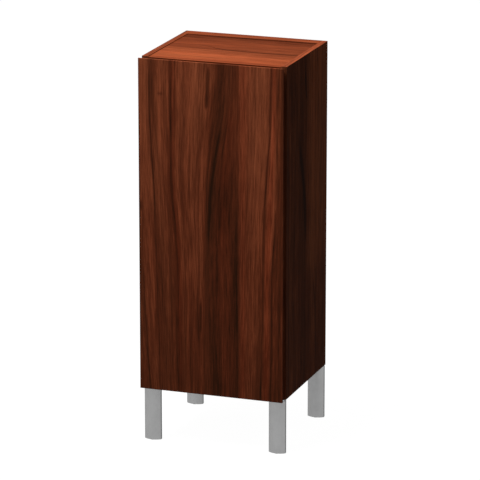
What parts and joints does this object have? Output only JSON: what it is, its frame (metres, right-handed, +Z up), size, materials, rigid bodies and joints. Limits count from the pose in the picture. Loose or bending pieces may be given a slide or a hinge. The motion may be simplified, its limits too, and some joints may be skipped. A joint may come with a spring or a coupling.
{
  "type": "tall bathroom cabinet",
  "caption": "Tall free-standing bathroom cabinet: dark veneered carcass with one full-height door without a handle, glass shelves inside, on four bowed metal legs.",
  "frame": {"origin": "on the floor under the middle of the footprint, door and carcass together", "axes": "+Z up, +X to the right seen from the front, -Y towards the person who opens the door"},
  "size_m": [0.4, 0.364, 1.05],
  "materials": {
    "door_veneer": "dark walnut veneer, satin lacquer, grain upright",
    "side_veneer": "dark walnut veneer, satin lacquer, grain upright",
    "top_veneer": "dark walnut veneer, satin lacquer, grain left to right",
    "inner_veneer": "dark walnut decor, satin",
    "back_board": "thin board with dark walnut decor, satin",
    "beech": "turned beech, fluted",
    "leg_metal": "grey satin metal profile",
    "shelf_glass": "clear float glass with polished edges",
    "nickel_steel": "nickel plated, satin",
    "zinc_steel": "bright zinc plated",
    "zinc_casting": "raw zinc casting",
    "pin_steel": "plain steel",
    "magnet": "dark ferrite",
    "white_plastic": "off-white moulded plastic",
    "black_plastic": "black moulded plastic",
    "foot_plastic": "dark grey moulded plastic on a steel stud",
    "clear_plastic": "clear soft plastic"
  },
  "bodies": {
    "cabinet": {"side_panel_left": "side_veneer", "side_panel_right": "side_veneer", "top_panel": "top_veneer", "bottom_panel": "inner_veneer", "rear_top_strip": "top_veneer", "wall_rail": "inner_veneer", "lower_rear_rail": "inner_veneer", "back_panel": "back_board", "shelf_lower": "shelf_glass", "shelf_upper": "shelf_glass", "shelf_supports_lower": "nickel_steel", "shelf_supports_upper": "nickel_steel", "shelf_pads": "clear_plastic", "panel_dowels": "beech", "cam_bolts": "zinc_steel", "cam_locks": "zinc_casting", "leg_front_left": "leg_metal", "leg_front_right": "leg_metal", "leg_rear_left": "leg_metal", "leg_rear_right": "leg_metal", "leg_plate_front_left": "zinc_steel", "leg_plate_front_right": "zinc_steel", "leg_plate_rear_left": "zinc_steel", "leg_plate_rear_right": "zinc_steel", "leg_plate_screws": "zinc_steel", "leg_bolts": "zinc_steel", "leg_plug_front_left": "black_plastic", "leg_plug_front_right": "black_plastic", "leg_plug_rear_left": "black_plastic", "leg_plug_rear_right": "black_plastic", "hinge_frame_leaf_lower": "nickel_steel", "hinge_frame_leaf_middle": "nickel_steel", "hinge_frame_leaf_upper": "nickel_steel", "hinge_pin_lower": "pin_steel", "hinge_pin_middle": "pin_steel", "hinge_pin_upper": "pin_steel", "hinge_frame_screws": "zinc_steel", "catch_housing_lower": "white_plastic", "catch_housing_upper": "white_plastic", "catch_magnets": "magnet", "catch_poles": "zinc_steel", "catch_screws": "zinc_steel"},
    "door": {"door_panel": "door_veneer", "hinge_door_leaf_lower": "nickel_steel", "hinge_door_leaf_middle": "nickel_steel", "hinge_door_leaf_upper": "nickel_steel", "hinge_door_screws": "zinc_steel", "strike_plates": "zinc_steel", "strike_screws": "zinc_steel", "door_bumpers": "clear_plastic"},
    "front_left_foot": {"foot_front_left": "foot_plastic"},
    "front_right_foot": {"foot_front_right": "foot_plastic"},
    "rear_left_foot": {"foot_rear_left": "foot_plastic"},
    "rear_right_foot": {"foot_rear_right": "foot_plastic"}
  },
  "joints": [
    {"name": "door_hinge", "type": "hinge", "parent": "cabinet", "child": "door", "pos_m": [-0.1965, -0.1563, 0.6], "axis": [0, 0, -1], "range_deg": [0, 150]},
    {"name": "front_left_foot_screw", "type": "slide", "parent": "cabinet", "child": "front_left_foot", "axis": [0, 0, -1], "range_m": [0, 0.012]},
    {"name": "front_right_foot_screw", "type": "slide", "parent": "cabinet", "child": "front_right_foot", "axis": [0, 0, -1], "range_m": [0, 0.012]},
    {"name": "rear_left_foot_screw", "type": "slide", "parent": "cabinet", "child": "rear_left_foot", "axis": [0, 0, -1], "range_m": [0, 0.012]},
    {"name": "rear_right_foot_screw", "type": "slide", "parent": "cabinet", "child": "rear_right_foot", "axis": [0, 0, -1], "range_m": [0, 0.012]}
  ]
}
